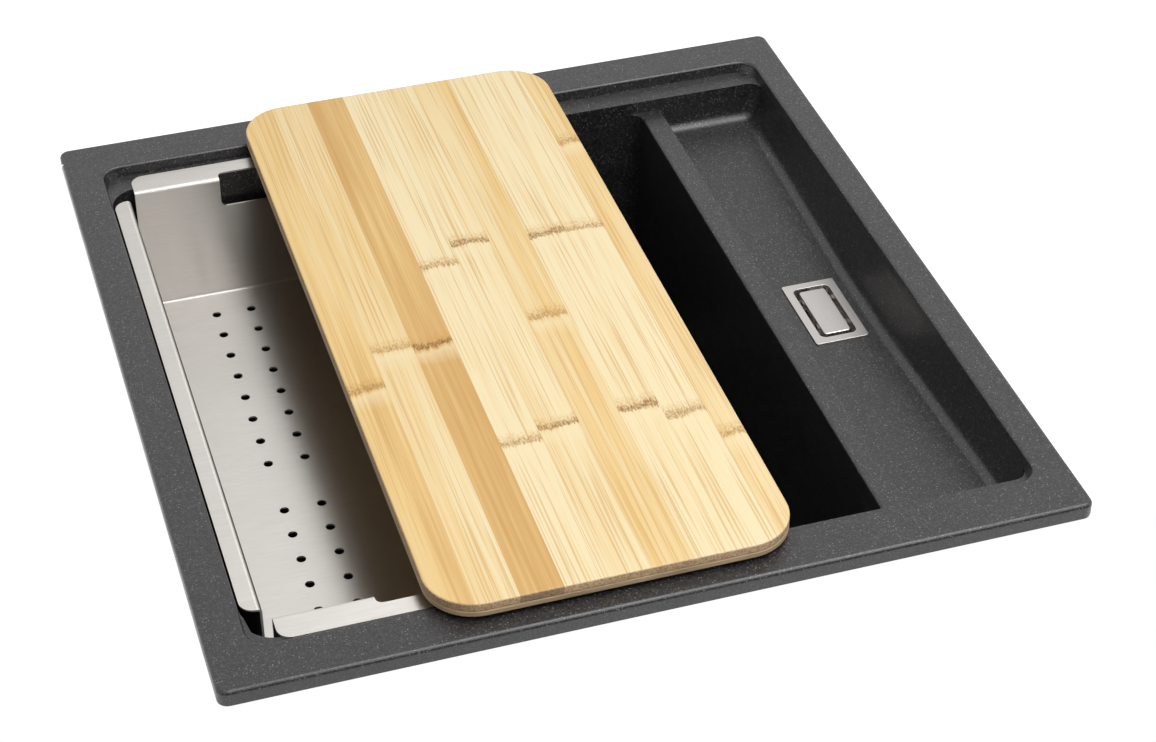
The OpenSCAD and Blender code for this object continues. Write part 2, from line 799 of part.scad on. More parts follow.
module waste_body() {
    color([0.88, 0.88, 0.87]) translate([waste_x, 0, 0]) difference() {
        union() {
            difference() {
                union() {
                    rotate_extrude() polygon([
                        [0, body_top_z],
                        [waste_flange_d / 2, body_top_z],
                        [waste_flange_d / 2, body_top_z - body_flange_t],
                        [body_d / 2, body_top_z - body_flange_t],
                        [body_d / 2, body_cup_z],
                        [outlet_d / 2, body_cone_z],
                        [outlet_d / 2, outlet_end_z],
                        [0, outlet_end_z]
                    ]);
                    translate([0, 0, pipe_run_z]) rotate([0, 90, 0])
                        cylinder(h = inlet_x - waste_x, d = spigot_d);
                }
                rotate_extrude() polygon([
                    [0, body_top_z + 1],
                    [body_bore / 2, body_top_z + 1],
                    [body_bore / 2, body_cup_z],
                    [outlet_bore / 2, body_cone_z],
                    [outlet_bore / 2, outlet_end_z - 1],
                    [0, outlet_end_z - 1]
                ]);
            }
            for (a = [45, 135]) rotate([0, 0, a])
                translate([-body_bore / 2 - 1, -1.5, body_cup_z + 1])
                    cube([body_bore + 2, 3, waste_boss_z - body_cup_z - 1]);
            translate([0, 0, body_cup_z - 2])
                cylinder(h = waste_boss_z - body_cup_z + 2, d = waste_boss_d);
        }
        translate([0, 0, body_cup_z]) cylinder(h = waste_cup_h, d = waste_screw_d);
        translate([body_bore / 2 - 2, 0, pipe_run_z]) rotate([0, 90, 0])
            cylinder(h = body_t + 6, d = pipe_d - 2 * pipe_t);
        translate([inlet_x - waste_x - spigot_h, 0, pipe_run_z]) rotate([0, 90, 0])
            cylinder(h = spigot_h + 1, d = spigot_bore);
    }
}

module waste_screw() {
    color([0.75, 0.75, 0.74]) translate([waste_x, 0, 0]) difference() {
        union() {
            translate([0, 0, body_cup_z + 1]) cylinder(h = dish_bottom_z - body_cup_z, d = waste_screw_d);
            translate([0, 0, dish_bottom_z]) cylinder(h = 4, d = 12);
        }
        translate([-5, -0.6, dish_bottom_z + 2.5]) cube([10, 1.2, 2]);
    }
}

module strainer_basket() {
    basket_h = basket_top_z - basket_z;
    color([0.8, 0.79, 0.77]) translate([waste_x, 0, 0]) difference() {
        rotate_extrude() union() {
            translate([basket_d / 2 - basket_t, basket_z]) square([basket_t, basket_h]);
            translate([stem_bore / 2, basket_z]) square([basket_d / 2 - stem_bore / 2, basket_t]);
            translate([basket_d / 2 - basket_t, basket_top_z - basket_t]) square([basket_t + 2, basket_t]);
        }
        for (a = [0:30:330]) rotate([0, 0, a])
            translate([basket_d / 2 - 3, -1.5, basket_z + 6]) cube([6, 3, basket_h - 12]);
        for (ring_r = [stem_d / 2 + 5, basket_d / 2 - 8], a = [0:30:330]) rotate([0, 0, a])
            translate([ring_r, 0, basket_z - 1]) cylinder(h = basket_t + 2, d = 3, $fn = 16);
    }
}

module basket_knob() {
    top = basket_top_z - 2;
    color([0.82, 0.81, 0.79]) translate([waste_x, 0, 0]) rotate_extrude() union() {
        translate([stem_bore / 2, basket_z + basket_t])
            square([(stem_d - stem_bore) / 2, top - basket_z - basket_t]);
        translate([0, top - 2]) square([stem_d / 2, 2]);
        translate([0, top]) square([stem_d / 2 + 2, 3]);
    }
}

module basket_seal() {
    color([0.1, 0.1, 0.1]) ring(dish_bottom_z, basket_seal_t, basket_d - 4, basket_d - 14);
}

module outlet_washer() {
    color([0.15, 0.15, 0.15]) ring(outlet_end_z - pipe_washer_t, pipe_washer_t, outlet_d - 2, outlet_bore);
}

module outlet_nut() {
    nut_h = 20;
    nut_t = 4;
    outer = outlet_d + 2 * slide_gap + 2 * nut_t;
    bottom = outlet_end_z - pipe_washer_t - nut_t;
    color([0.9, 0.9, 0.89]) translate([waste_x, 0, bottom]) difference() {
        union() {
            cylinder(h = nut_h, d = outer);
            for (a = [0:30:330]) rotate([0, 0, a])
                translate([outer / 2, 0, 0]) cylinder(h = nut_h - 2, d = 4, $fn = 16);
        }
        translate([0, 0, nut_t]) cylinder(h = nut_h, d = outlet_d + 2 * slide_gap);
        translate([0, 0, -1]) cylinder(h = nut_h, d = outlet_bore);
    }
}

// ---- the fixing clips under the rim ----

// One clip at the front or back: a hook in the collar's slot, an upright and a foot with a clamp screw
module fixing_clip(spot) {
    hook_y = collar_y - slot_in + 1.5;
    up_y = collar_y + slide_gap;
    hook_z = slot_z - clip_t / 2;
    turn = spot[1] < 0 ? 180 : 0;
    color([0.72, 0.72, 0.7]) translate([spot[0], 0, 0]) rotate([0, 0, turn]) difference() {
        translate([-clip_w / 2, 0, 0]) {
            translate([0, hook_y, hook_z]) cube([clip_w, up_y + clip_t - hook_y, clip_t]);
            translate([0, up_y, clip_leg_z]) cube([clip_w, clip_t, hook_z + clip_t - clip_leg_z]);
            translate([0, up_y, clip_leg_z]) cube([clip_w, clip_reach - up_y, clip_t]);
        }
        translate([0, clamp_y, clip_leg_z - 1]) cylinder(h = clip_t + 2, d = clamp_d);
    }
}

module clamp_screw(spot) {
    pad_t = 2;
    pad_d = clamp_d + 4;
    color([0.75, 0.75, 0.74]) translate([spot[0], spot[1] * clamp_y, 0]) difference() {
        union() {
            translate([0, 0, clip_leg_z - 14])
                cylinder(h = -worktop_t - clip_leg_z + 14, d = clamp_d);
            translate([0, 0, -worktop_t - pad_t]) cylinder(h = pad_t, d = pad_d);
        }
        translate([-4, -0.5, clip_leg_z - 15]) cube([8, 1, 2.5]);
    }
}

sink_body();
rim_seal();
board_upper_ply();
board_lower_ply();
for (i = [0:3]) board_foot(corners[i]);
colander_tray();
overflow_frame();
overflow_seal();
overflow_screw();
overflow_housing();
housing_gasket();
overflow_cover();
cover_spring();
overflow_pipe();
at_housing_spigot() pipe_nut();  // pipe_nut_upper
at_waste_inlet() pipe_nut();  // pipe_nut_lower
at_housing_spigot() pipe_washer();  // pipe_washer_upper
at_waste_inlet() pipe_washer();  // pipe_washer_lower
waste_dish();
dish_gasket();
waste_gasket();
waste_body();
waste_screw();
strainer_basket();
basket_knob();
basket_seal();
outlet_nut();
outlet_washer();
for (i = [0:3]) fixing_clip(clip_spots[i]);
for (i = [0:3]) clamp_screw(clip_spots[i]);
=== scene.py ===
import math

import bmesh
import bpy
from mathutils import Euler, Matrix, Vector


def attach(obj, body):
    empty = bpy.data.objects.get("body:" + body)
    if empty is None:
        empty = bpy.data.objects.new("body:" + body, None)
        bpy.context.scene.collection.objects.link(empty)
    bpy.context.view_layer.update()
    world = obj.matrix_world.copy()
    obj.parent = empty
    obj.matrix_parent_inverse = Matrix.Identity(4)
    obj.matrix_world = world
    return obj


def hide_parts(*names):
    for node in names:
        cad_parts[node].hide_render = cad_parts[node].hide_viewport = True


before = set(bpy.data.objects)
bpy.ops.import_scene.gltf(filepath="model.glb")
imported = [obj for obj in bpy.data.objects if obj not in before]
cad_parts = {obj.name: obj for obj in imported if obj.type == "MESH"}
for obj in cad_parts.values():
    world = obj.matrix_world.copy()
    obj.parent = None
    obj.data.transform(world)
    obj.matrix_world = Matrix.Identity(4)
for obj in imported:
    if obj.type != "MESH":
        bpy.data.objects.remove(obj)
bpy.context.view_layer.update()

white = (1, 1, 1, 1)
hair = 1e-5  # two places closer than this are one
slack = 1e-4  # how far off a line or an arc a vertex may lie and still belong to it

# the photograph's camera, fitted to the rim and the opening
photoView = {
    "width": 1156,  # pixels, as the next two
    "focalPixels": 2665.98,
    "centreAcross": 581.65,
    "yaw": 17.507,  # degrees, as the pitch
    "pitch": 38.263,
    "place": (-0.349665, -1.203602, 0.954211),
    "sensorWidth": 36,
    "clipStart": 0.01,
}


def addObject(name, data):
    made = bpy.data.objects.new(name, data)
    bpy.context.scene.collection.objects.link(made)
    return made


def makeCamera():
    v = photoView
    data = bpy.data.cameras.new("photoCamera")
    data.sensor_width = v["sensorWidth"]
    data.lens = v["focalPixels"] * v["sensorWidth"] / v["width"]
    data.shift_x = (v["width"] / 2 - v["centreAcross"]) / v["width"]
    data.clip_start = v["clipStart"]
    camera = addObject("photoCamera", data)
    camera.location = v["place"]
    camera.rotation_euler = Euler((math.radians(90 - v["pitch"]), 0, -math.radians(v["yaw"])))
    bpy.context.scene.camera = camera
    return camera


def addNode(tree, kind, values=None, **settings):
    made = tree.nodes.new(kind)
    for name, value in settings.items():
        setattr(made, name, value)
    for socket, value in (values or {}).items():
        if isinstance(value, bpy.types.NodeSocket):
            tree.links.new(value, made.inputs[socket])
        else:
            made.inputs[socket].default_value = value
    return made


def calculate(tree, operation, first, second=0.0, third=None):
    values = {0: first, 1: second}
    if third is not None:
        values[2] = third
    return addNode(tree, "ShaderNodeMath", values, operation=operation).outputs[0]


def emptyMaterial(name):
    paint = bpy.data.materials.new(name)
    paint.use_nodes = True
    paint.node_tree.nodes.clear()
    return paint, paint.node_tree


def raysThatSee(tree, *kinds):
    # 1 for the named kinds of ray, 0 for those that only carry light
    light = addNode(tree, "ShaderNodeLightPath")
    seen = light.outputs[kinds[0]]
    for kind in kinds[1:]:
        seen = calculate(tree, "MAXIMUM", seen, light.outputs[kind])
    return seen


studio = {"daylight": 0.32, "daylightColour": (1, 0.99, 0.98, 1)}


def makeWorld():
    world = bpy.data.worlds.new("studio")
    bpy.context.scene.world = world
    world.use_nodes = True
    tree = world.node_tree
    tree.nodes.clear()
    seen = raysThatSee(tree, "Is Camera Ray", "Is Glossy Ray", "Is Transmission Ray")
    soft = addNode(tree, "ShaderNodeBackground", {
        "Color": studio["daylightColour"], "Strength": studio["daylight"],
    })
    plain = addNode(tree, "ShaderNodeBackground", {"Color": white, "Strength": 1})
    both = addNode(tree, "ShaderNodeMixShader", {0: seen, 1: soft.outputs[0], 2: plain.outputs[0]})
    addNode(tree, "ShaderNodeOutputWorld", {"Surface": both.outputs[0]})


lamps = {
    "softBoxAbove": {"place": (0.5, -0.4, 1.75), "size": (1.4, 1.2), "watts": 26},
    "stripInFront": {"place": (0.7, -1.75, 1.6), "size": (1.6, 0.22), "watts": 7},
}


def makeLamp(name, look):
    # every lamp looks at the middle of the rim
    data = bpy.data.lights.new(name, "AREA")
    data.shape = "RECTANGLE"
    data.size, data.size_y = look["size"]
    data.energy = look["watts"]
    lamp = addObject(name, data)
    lamp.location = look["place"]
    lamp.rotation_euler = (-Vector(look["place"])).to_track_quat("-Z", "Y").to_euler()


paleFloor = {"height": -0.3, "reach": 9.0, "colour": (0.75, 0.75, 0.75, 1), "lift": 0.74}


def makeFloor():
    # pale enough to render white, and still holds a faint shadow
    f = paleFloor
    mesh = bpy.data.meshes.new("floor")
    signs = ((-1, -1), (1, -1), (1, 1), (-1, 1))
    corners = [(x * f["reach"], y * f["reach"], f["height"]) for x, y in signs]
    mesh.from_pydata(corners, [], [(0, 1, 2, 3)])
    floor = addObject("floor", mesh)
    paint, tree = emptyMaterial("paleFloor")
    lift = calculate(tree, "MULTIPLY", raysThatSee(tree, "Is Camera Ray", "Is Glossy Ray"), f["lift"])
    matt = addNode(tree, "ShaderNodeBsdfDiffuse", {"Color": f["colour"]})
    glow = addNode(tree, "ShaderNodeEmission", {"Color": white, "Strength": lift})
    both = addNode(tree, "ShaderNodeAddShader", {0: matt.outputs[0], 1: glow.outputs[0]})
    addNode(tree, "ShaderNodeOutputMaterial", {"Surface": both.outputs[0]})
    mesh.materials.append(paint)


# follows the rim's lower outline from the back left corner round to the front right one
whiteCard = {
    "halfWidth": 0.2398,
    "halfDepth": 0.2548,
    "corner": 0.006,
    "cornerSteps": 6,
    "firstStep": 3,  # where on the back left corner's arc the outline starts
    "lastStep": 5,  # and where on the front right one it ends
    "height": 0.0004,
    "distance": 0.25,  # from the camera
    "spread": 3,  # picture widths that it reaches to each side and down
}


def cornerArc(centre, start):
    radius, steps = whiteCard["corner"], whiteCard["cornerSteps"]
    turns = [math.radians(start + 90 * i / steps) for i in range(steps + 1)]
    return [(centre[0] + radius * math.cos(t), centre[1] + radius * math.sin(t)) for t in turns]


def makeWhiteCard(camera):
    # hides what hangs below the rim, from the photograph's viewpoint alone
    c = whiteCard
    away = c["distance"]
    right, back = c["halfWidth"] - c["corner"], c["halfDepth"] - c["corner"]
    outline = cornerArc((-right, back), 90)[c["firstStep"]:]
    outline += cornerArc((-right, -back), 180)
    outline += cornerArc((right, -back), 270)[:c["lastStep"]]
    bpy.context.view_layer.update()
    toCamera = camera.matrix_world.inverted()
    inner = []
    for x, y in outline:
        seen = toCamera @ Vector((x, y, c["height"]))
        inner.append(Vector((-seen.x * away / seen.z, -seen.y * away / seen.z, -away)))
    wide = c["spread"] * away * photoView["width"] / photoView["focalPixels"]
    outer = [
        Vector((wide, inner[-1].y, -away)),
        Vector((wide, -wide, -away)),
        Vector((-wide, -wide, -away)),
        Vector((-wide, inner[0].y, -away)),
    ]
    shape = bmesh.new()
    shape.faces.new([shape.verts.new(camera.matrix_world @ corner) for corner in inner + outer])
    bmesh.ops.triangulate(shape, faces=shape.faces[:])
    mesh = bpy.data.meshes.new("whiteCard")
    shape.to_mesh(mesh)
    shape.free()
    card = addObject("whiteCard", mesh)
    paint, tree = emptyMaterial("cardWhite")
    glow = addNode(tree, "ShaderNodeEmission", {"Color": white, "Strength": 1})
    addNode(tree, "ShaderNodeOutputMaterial", {"Surface": glow.outputs[0]})
    mesh.materials.append(paint)
    for ray in ("diffuse", "glossy", "transmission", "volume_scatter", "shadow"):
        setattr(card, "visible_" + ray, False)


darkFlag = {
    "halfWidth": 3.2,
    "back": -2.2,
    "foot": -0.29,
    "top": 1.15,
    "colour": (0.15, 0.15, 0.15, 1),
}


def makeDarkFlag():
    # stands in for the dark studio behind the photographer, and no camera sees it
    f = darkFlag
    w, foot, top = f["halfWidth"], f["foot"], f["top"]
    mesh = bpy.data.meshes.new("darkFlag")
    corners = [(x, f["back"], z) for x, z in ((-w, foot), (w, foot), (w, top), (-w, top))]
    mesh.from_pydata(corners, [], [(0, 1, 2, 3)])
    flag = addObject("darkFlag", mesh)
    paint = bpy.data.materials.new("flagCloth")
    paint.use_nodes = True
    shader = paint.node_tree.nodes["Principled BSDF"]
    shader.inputs["Base Color"].default_value = f["colour"]
    shader.inputs["Roughness"].default_value = 1
    mesh.materials.append(paint)
    flag.visible_camera = False


bpy.context.scene.view_settings.view_transform = "Standard"
photoCamera = makeCamera()
makeWorld()
makeFloor()
makeWhiteCard(photoCamera)
makeDarkFlag()
for lampName, lampLook in lamps.items():
    makeLamp(lampName, lampLook)
print("camera, backdrop and light are in place")


def newFinish(name, plain):
    paint = bpy.data.materials.new(name)
    paint.use_nodes = True
    tree = paint.node_tree
    shader = tree.nodes["Principled BSDF"]
    for socket, value in plain.items():
        shader.inputs[socket].default_value = value
    place = addNode(tree, "ShaderNodeTexCoord").outputs["Object"]
    return paint, tree, shader, place


def ramp(tree, factor, stops, interpolation="LINEAR"):
    made = addNode(tree, "ShaderNodeValToRGB", {0: factor})
    made.color_ramp.interpolation = interpolation
    elements = made.color_ramp.elements
    while len(elements) < len(stops):
        elements.new(0.5)
    for element, (position, colour) in zip(elements, stops):
        element.position = position
        element.color = (*colour, 1) if isinstance(colour, tuple) else (colour, colour, colour, 1)
    return made.outputs[0]


def swing(tree, wave, low, high, margin=0.3):
    # the wave's usual range, drawn out to run from one value to the other
    return ramp(tree, wave, [(margin, low), (1 - margin, high)])


def sway(tree, wave, amount, base):
    # moves the base to both sides with the wave
    centred = calculate(tree, "SUBTRACT", wave, 0.5)
    return calculate(tree, "MULTIPLY_ADD", centred, amount, base)


def noise(tree, place, scale, detail=2.0, stretch=None, roughness=0.5):
    if stretch:
        place = addNode(tree, "ShaderNodeMapping", {"Vector": place, "Scale": stretch}).outputs[0]
    values = {"Vector": place, "Scale": scale, "Detail": detail, "Roughness": roughness}
    return addNode(tree, "ShaderNodeTexNoise", values).outputs[0]


def bump(tree, shader, height, strength, depth):
    values = {"Height": height, "Strength": strength, "Distance": depth}
    tree.links.new(addNode(tree, "ShaderNodeBump", values).outputs[0], shader.inputs["Normal"])


def mixColour(tree, factor, first, second, blend="MIX"):
    if isinstance(second, tuple):
        second = (*second, 1)
    values = {"Factor": factor, 6: first, 7: second}
    return addNode(tree, "ShaderNodeMix", values, data_type="RGBA", blend_type=blend).outputs[2]


graniteFinish = {
    "deep": (0.008, 0.0075, 0.008),
    "dark": (0.013, 0.0123, 0.013),
    "light": (0.054, 0.0515, 0.053),
    "grainStops": (0.10, 0.55, 0.98),
    "grainScale": 1400.0,
    "clump": {"scale": 900.0, "detail": 3.0, "roughness": 0.7},
    "clumpBy": 0.8,
    "fleck": (0.24, 0.228, 0.232),
    "fleckScale": 950.0,
    "fleckShare": 0.10,
    "fleckEdge": [(0.18, 1.0), (0.42, 0.0)],
    "rough": (0.31, 0.40),
    "cloudScale": 60.0,
    "gloss": {"IOR": 1.5, "Specular IOR Level": 0.7},
    "relief": 0.40,
    "depth": 0.00012,
}


def makeGranite():
    g = graniteFinish
    paint, tree, shader, place = newFinish("graniteComposite", g["gloss"])
    cells = addNode(tree, "ShaderNodeTexVoronoi", {"Vector": place, "Scale": g["grainScale"]})
    pick = addNode(tree, "ShaderNodeSeparateColor", {0: cells.outputs["Color"]}).outputs[0]
    grain = sway(tree, noise(tree, place, **g["clump"]), g["clumpBy"], pick)
    stops = list(zip(g["grainStops"], (g["deep"], g["dark"], g["light"])))
    base = ramp(tree, grain, stops)
    # a few of the cells hold a pale fleck
    flecks = addNode(tree, "ShaderNodeTexVoronoi", {"Vector": place, "Scale": g["fleckScale"]})
    near = ramp(tree, flecks.outputs["Distance"], g["fleckEdge"])
    chosen = addNode(tree, "ShaderNodeSeparateColor", {0: flecks.outputs["Color"]}).outputs[1]
    chosen = calculate(tree, "LESS_THAN", chosen, g["fleckShare"])
    fleck = calculate(tree, "MULTIPLY", near, chosen)
    tree.links.new(mixColour(tree, fleck, base, g["fleck"]), shader.inputs["Base Color"])
    cloud = noise(tree, place, g["cloudScale"])
    tree.links.new(swing(tree, cloud, *g["rough"]), shader.inputs["Roughness"])
    bump(tree, shader, grain, g["relief"], g["depth"])
    return paint


brushing = {
    "line": {"scale": 45.0, "detail": 5.0, "roughness": 0.72},
    "lineMargin": 0.34,
    "lineShare": 0.65,
    "darkLine": 0.90,
    "cloudScale": 14.0,
    "cloudShare": 0.35,
    "roughMargin": 0.35,
    "turn": 0.25,  # draws the shine out across the brushing
    "relief": 0.10,
    "depth": 0.00004,
}
trayFinish = {
    "name": "brushedTray",
    "along": (1, 0, 0),
    "stretch": (1, 30, 30),
    "colour": (0.545, 0.522, 0.493),
    "rough": (0.32, 0.37),
    "anisotropy": 0.97,
}
trimFinish = {
    "name": "brushedTrim",
    "along": (0, 1, 0),
    "stretch": (30, 1, 30),
    "colour": (0.64, 0.61, 0.585),
    "rough": (0.26, 0.36),
    "anisotropy": 0.5,
}


def makeBrushedSteel(look):
    b = brushing
    paint, tree, shader, place = newFinish(look["name"], {
        "Metallic": 1.0, "Anisotropic": look["anisotropy"], "Anisotropic Rotation": b["turn"],
    })
    tangent = addNode(tree, "ShaderNodeCombineXYZ", dict(enumerate(look["along"]))).outputs[0]
    tree.links.new(tangent, shader.inputs["Tangent"])
    lines = noise(tree, place, stretch=look["stretch"], **b["line"])
    cloud = noise(tree, place, b["cloudScale"])
    dark = tuple(c * b["darkLine"] for c in look["colour"])
    tint = swing(tree, lines, dark, look["colour"], b["lineMargin"])
    tree.links.new(tint, shader.inputs["Base Color"])
    lineShare = calculate(tree, "MULTIPLY", lines, b["lineShare"])
    mixed = calculate(tree, "MULTIPLY_ADD", cloud, b["cloudShare"], lineShare)
    rough = swing(tree, mixed, *look["rough"], b["roughMargin"])
    tree.links.new(rough, shader.inputs["Roughness"])
    bump(tree, shader, lines, b["relief"], b["depth"])
    return paint


plainGrain = {"detail": 3.0, "cloudScale": 40.0, "roughSwing": 0.05, "depth": 0.0001}
zincFinish = {
    "name": "zincPlate",
    "colour": (0.62, 0.63, 0.62),
    "rough": 0.32,
    "metal": 1.0,
    "grainScale": 300.0,
    "relief": 0.1,
    "spread": 0.1,
}
plasticFinish = {
    "name": "whitePlastic",
    "colour": (0.83, 0.83, 0.81),
    "rough": 0.36,
    "metal": 0.0,
    "grainScale": 900.0,
    "relief": 0.06,
    "spread": 0.03,
}
sealFinish = {
    "name": "blackRubber",
    "colour": (0.022, 0.022, 0.022),
    "rough": 0.55,
    "metal": 0.0,
    "grainScale": 700.0,
    "relief": 0.2,
    "spread": 0.2,
}
padFinish = {
    "name": "footRubber",
    "colour": (0.10, 0.10, 0.10),
    "rough": 0.6,
    "metal": 0.0,
    "grainScale": 700.0,
    "relief": 0.2,
    "spread": 0.2,
}


def makePlain(look):
    paint, tree, shader, place = newFinish(look["name"], {"Metallic": look["metal"]})
    grain = noise(tree, place, look["grainScale"], plainGrain["detail"])
    low = tuple(c * (1 - look["spread"]) for c in look["colour"])
    high = tuple(c * (1 + look["spread"]) for c in look["colour"])
    tree.links.new(swing(tree, grain, low, high), shader.inputs["Base Color"])
    cloud = noise(tree, place, plainGrain["cloudScale"])
    by = plainGrain["roughSwing"]
    rough = swing(tree, cloud, look["rough"] - by, look["rough"] + by)
    tree.links.new(rough, shader.inputs["Roughness"])
    bump(tree, shader, grain, look["relief"], plainGrain["depth"])
    return paint


# the board's nine strips, with one value for each from left to right
bambooStrips = {
    "left": -0.1245,
    "firstEdge": 0.0216,
    "pitch": 0.02355,
    "count": 9,
    "tones": (0.42, 0.66, 0.12, 0.92, 0.86, 0.60, 0.92, 0.96, 0.62),
    "jointsNear": (-0.055, -0.024, -0.026, 0.047, 0.065, -0.019, 0.060, 0.059, 0.152),
    # -0.6 lies past the board's end, so that strip shows no second joint
    "jointsFar": (-0.6, -0.6, -0.6, -0.126, -0.117, -0.6, -0.115, -0.128, -0.152),
    "jointDepth": (0.55, 0.42, 1.0, 0.50, 0.85, 0.50, 0.90, 0.55, 0.45),
}
bambooColours = {
    "cream": (0.95, 0.80, 0.50),
    "straw": (0.87, 0.61, 0.26),
    "honey": (0.66, 0.38, 0.125),
    "line": (0.68, 0.41, 0.145),
    "amber": (0.62, 0.33, 0.06),
    "mark": (0.26, 0.105, 0.025),
    "endGrain": (0.78, 0.55, 0.33),
    "endPore": (0.50, 0.32, 0.175),
}
bambooGrain = {
    "broad": {"scale": 70.0, "detail": 3.0, "stretch": (1, 0.05, 1), "roughness": 0.55},
    "streaks": {"scale": 330.0, "detail": 3.0, "stretch": (1, 0.012, 1), "roughness": 0.6},
    "threads": {"scale": 900.0, "detail": 2.0, "stretch": (1, 0.008, 1), "roughness": 0.5},
    "ragged": {"scale": 800.0, "detail": 2.0, "stretch": (1, 0.02, 1), "roughness": 0.6},
    "bend": {"scale": 60.0, "detail": 2.0},
    "dots": {"scale": 900.0, "detail": 2.0, "stretch": (1, 0.45, 1), "roughness": 0.6},
}
bambooLook = {
    "stripShift": 3.7,
    "broadBy": 0.9,
    "streaksBy": 0.85,
    "tintStops": (0.0, 0.42, 0.95),
    "threadEdge": [(0.53, 0.0), (0.64, 1.0)],
    "threadShare": 0.6,
    "raggedBy": 0.009,
    "bendBy": 0.010,
    "bandsPerMetre": 25.0,
    "speckle": [(0.40, 1.0), (0.58, 0.15)],
    "amberShare": 0.75,
    "markShare": 0.65,
    "markLeast": 0.30,
    "seam": [(0.484, 0.0), (0.497, 0.4)],
    "sideTurn": [(0.45, 1.0), (0.80, 0.0)],
    "pores": {"scale": 900.0, "detail": 3.0, "roughness": 0.6},
    "poreStops": (0.40, 0.58),
    "sideShade": [(0.1, 0.62), (0.5, 0.95), (0.9, 1.12)],
    "rough": (0.50, 0.40),
    "relief": 0.15,
    "depth": 0.0001,
}
jointBands = {
    "core": [(0.435, 0.0), (0.455, 1.0), (0.54, 0.9), (0.60, 0.0)],
    "halo": [(0.41, 0.0), (0.45, 0.85), (0.62, 0.75), (0.76, 0.0)],
    "glow": [(0.02, 0.0), (0.34, 0.6), (0.43, 0.0)],
}


def makeBamboo():
    b, c, look = bambooStrips, bambooColours, bambooLook
    paint, tree, shader, place = newFinish("bambooTop", {"IOR": 1.45})
    x, y = addNode(tree, "ShaderNodeSeparateXYZ", {0: place}).outputs[:2]
    across = calculate(tree, "SUBTRACT", x, b["left"] + b["firstEdge"] - b["pitch"])
    across = calculate(tree, "DIVIDE", across, b["pitch"])
    index = calculate(tree, "FLOOR", across)
    inside = calculate(tree, "FRACT", across)
    which = calculate(tree, "DIVIDE", calculate(tree, "ADD", index, 0.5), float(b["count"]))

    def perStrip(values):
        stops = [(i / b["count"], value) for i, value in enumerate(values)]
        return ramp(tree, which, stops, "CONSTANT")

    # each strip has its own grain, drawn out along the board
    shift = calculate(tree, "MULTIPLY", index, look["stripShift"])
    moved = addNode(tree, "ShaderNodeCombineXYZ", {0: x, 1: y, 2: shift}).outputs[0]
    wave = {name: noise(tree, moved, **grain) for name, grain in bambooGrain.items()}
    tone = sway(tree, wave["broad"], look["broadBy"], perStrip(b["tones"]))
    tone = sway(tree, wave["streaks"], look["streaksBy"], tone)
    tint = list(zip(look["tintStops"], (c["honey"], c["straw"], c["cream"])))
    colour = ramp(tree, tone, tint)
    thread = ramp(tree, wave["threads"], look["threadEdge"])
    thread = calculate(tree, "MULTIPLY", thread, look["threadShare"])
    colour = mixColour(tree, thread, colour, c["line"])

    # the old joints of the cane cross each strip as ragged brown bands
    bands = {part: [] for part in jointBands}
    for row in (b["jointsNear"], b["jointsFar"]):
        # a ramp holds no negative value, so the places go up by 1 and down again
        middle = calculate(tree, "SUBTRACT", perStrip([value + 1.0 for value in row]), 1.0)
        away = calculate(tree, "SUBTRACT", y, middle)
        away = sway(tree, wave["ragged"], look["raggedBy"], away)
        away = sway(tree, wave["bend"], look["bendBy"], away)
        bandPlace = calculate(tree, "MULTIPLY_ADD", away, look["bandsPerMetre"], 0.5)
        for part, stops in jointBands.items():
            bands[part].append(ramp(tree, bandPlace, stops))
    core, halo, glow = [
        calculate(tree, "MAXIMUM", *bands[part]) for part in ("core", "halo", "glow")
    ]
    speckle = ramp(tree, wave["dots"], look["speckle"])
    colour = mixColour(tree, glow, colour, c["cream"])
    amber = calculate(tree, "MULTIPLY", speckle, look["amberShare"])
    amber = calculate(tree, "MULTIPLY", halo, amber)
    colour = mixColour(tree, amber, colour, c["amber"])
    mark = calculate(tree, "MULTIPLY_ADD", speckle, look["markShare"], look["markLeast"])
    mark = calculate(tree, "MULTIPLY", core, mark)
    mark = calculate(tree, "MULTIPLY", mark, perStrip(b["jointDepth"]))
    colour = mixColour(tree, mark, colour, c["mark"])
    seam = calculate(tree, "ABSOLUTE", calculate(tree, "SUBTRACT", inside, 0.5))
    colour = mixColour(tree, ramp(tree, seam, look["seam"]), colour, c["line"])

    # the sawn ends and sides are browner, with open pores
    facing = addNode(tree, "ShaderNodeTexCoord").outputs["Normal"]
    upright = addNode(tree, "ShaderNodeSeparateXYZ", {0: facing}).outputs[2]
    side = ramp(tree, calculate(tree, "ABSOLUTE", upright), look["sideTurn"])
    pores = noise(tree, place, **look["pores"])
    sawn = ramp(tree, pores, list(zip(look["poreStops"], (c["endPore"], c["endGrain"]))))
    shade = ramp(tree, perStrip(b["tones"]), look["sideShade"])
    sawn = mixColour(tree, 1.0, sawn, shade, "MULTIPLY")
    tree.links.new(mixColour(tree, side, colour, sawn), shader.inputs["Base Color"])
    tree.links.new(swing(tree, wave["streaks"], *look["rough"]), shader.inputs["Roughness"])
    bump(tree, shader, wave["threads"], look["relief"], look["depth"])
    return paint


lowerPlyFinish = {
    "low": (0.50, 0.36, 0.215),
    "high": (0.78, 0.59, 0.37),
    "stops": (0.36, 0.62),
    "pores": {"scale": 420.0, "detail": 4.0, "stretch": (0.15, 0.15, 2), "roughness": 0.65},
    "poreShare": 0.6,
    "cloudScale": 30.0,
    "cloudShare": 0.4,
    "gloss": {"Roughness": 0.6, "IOR": 1.45},
    "relief": 0.3,
    "depth": 0.00015,
}


